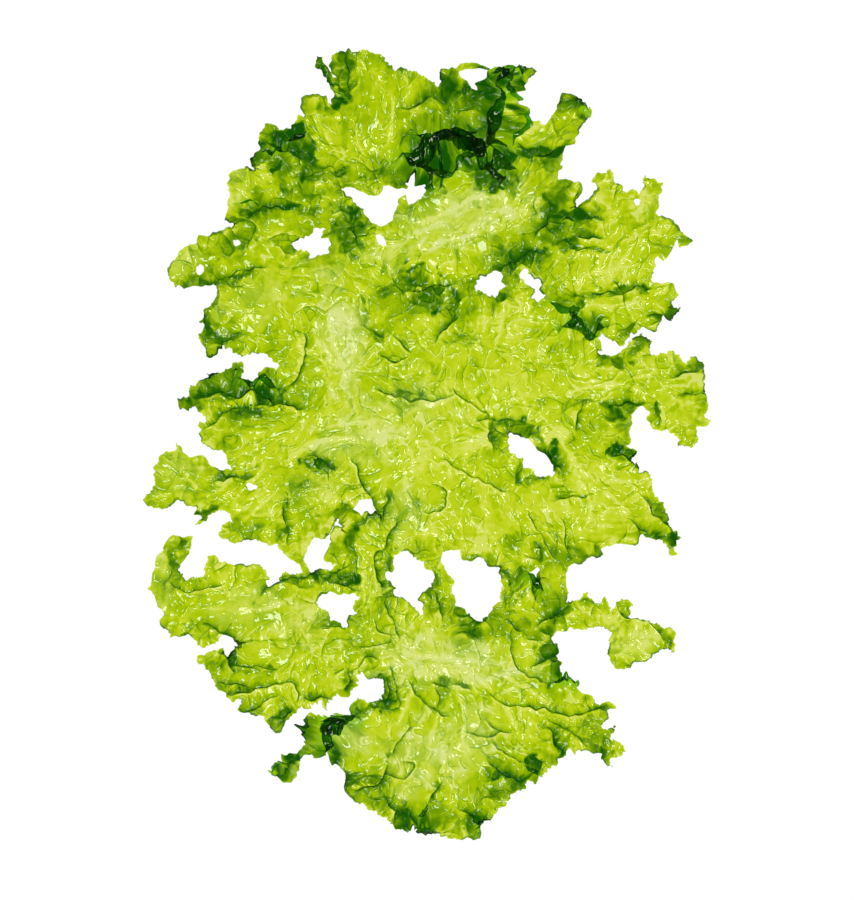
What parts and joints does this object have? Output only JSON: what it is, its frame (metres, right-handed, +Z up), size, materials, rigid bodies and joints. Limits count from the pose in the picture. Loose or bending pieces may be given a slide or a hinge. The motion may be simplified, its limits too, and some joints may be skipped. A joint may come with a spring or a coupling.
{
  "type": "sea lettuce blade",
  "caption": "Thin, wet, yellow-green seaweed blade with torn holes, deep lobes and crumpled margins, lying flat.",
  "frame": {"origin": "under the middle of the blade's bounding box, on the surface that it rests on", "axes": "+Y along the blade's long side towards its folded crown, +Z up out of the blade's face, +X to the right seen from above"},
  "size_m": [0.1892, 0.2624, 0.0089],
  "materials": {
    "membrane": "wet, glossy, translucent yellow-green membrane, dark green where it lies in folds"
  },
  "bodies": {
    "root": {"thallus": "membrane"}
  },
  "joints": []
}
